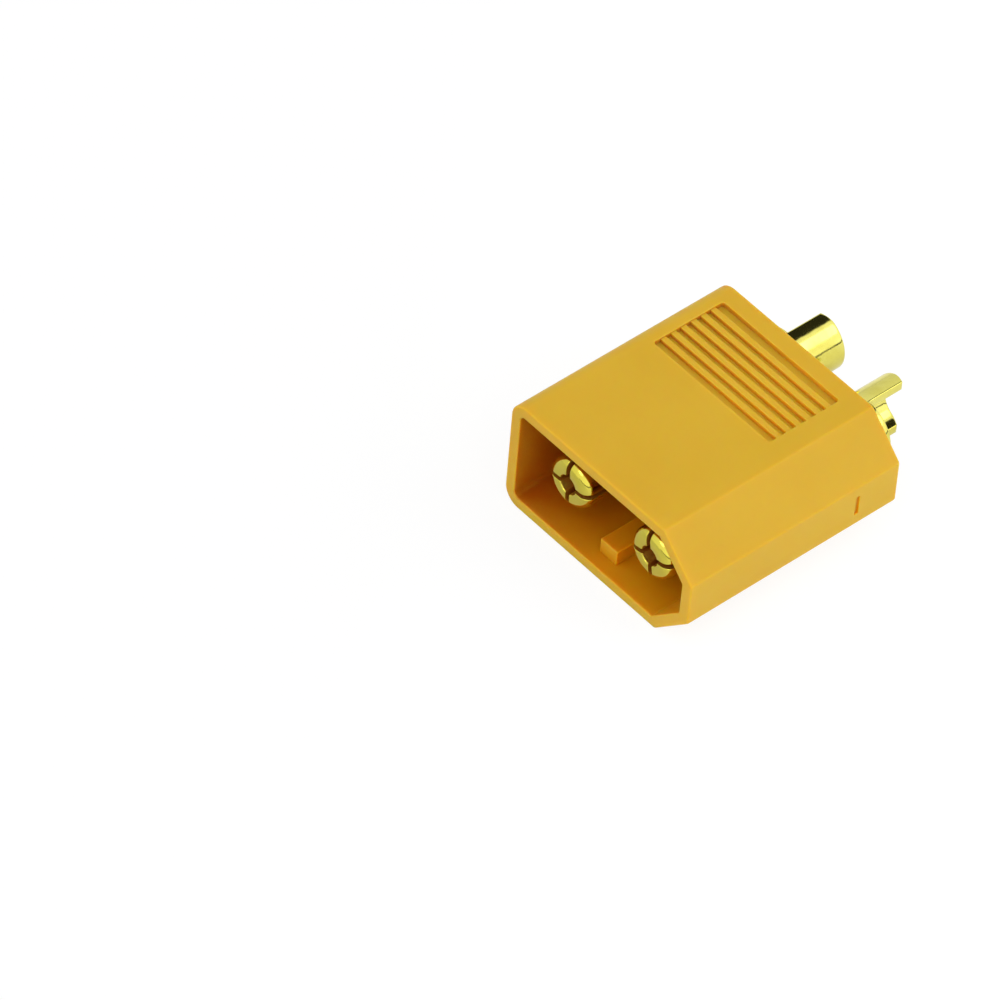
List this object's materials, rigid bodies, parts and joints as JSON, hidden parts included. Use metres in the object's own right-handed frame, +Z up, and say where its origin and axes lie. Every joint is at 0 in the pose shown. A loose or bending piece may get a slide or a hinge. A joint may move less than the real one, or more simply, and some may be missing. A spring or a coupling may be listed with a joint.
{
  "type": "two-pole battery connector, male half",
  "caption": "Rectangular two-pole battery connector, male half, with bevelled keyed socket, slotted bullet pins and open solder cups.",
  "frame": {"origin": "middle of the underside of the whole part, housing and cups together", "axes": "+X from the positive to the negative side, +Y from the socket towards the solder cups, +Z up"},
  "size_m": [0.016, 0.0208, 0.0083],
  "materials": {
    "housing": "yellow moulded nylon, satin",
    "contact": "turned and gold-plated, bright"
  },
  "bodies": {
    "root": {"housing": "housing", "contact_positive": "contact", "contact_negative": "contact"}
  },
  "joints": []
}
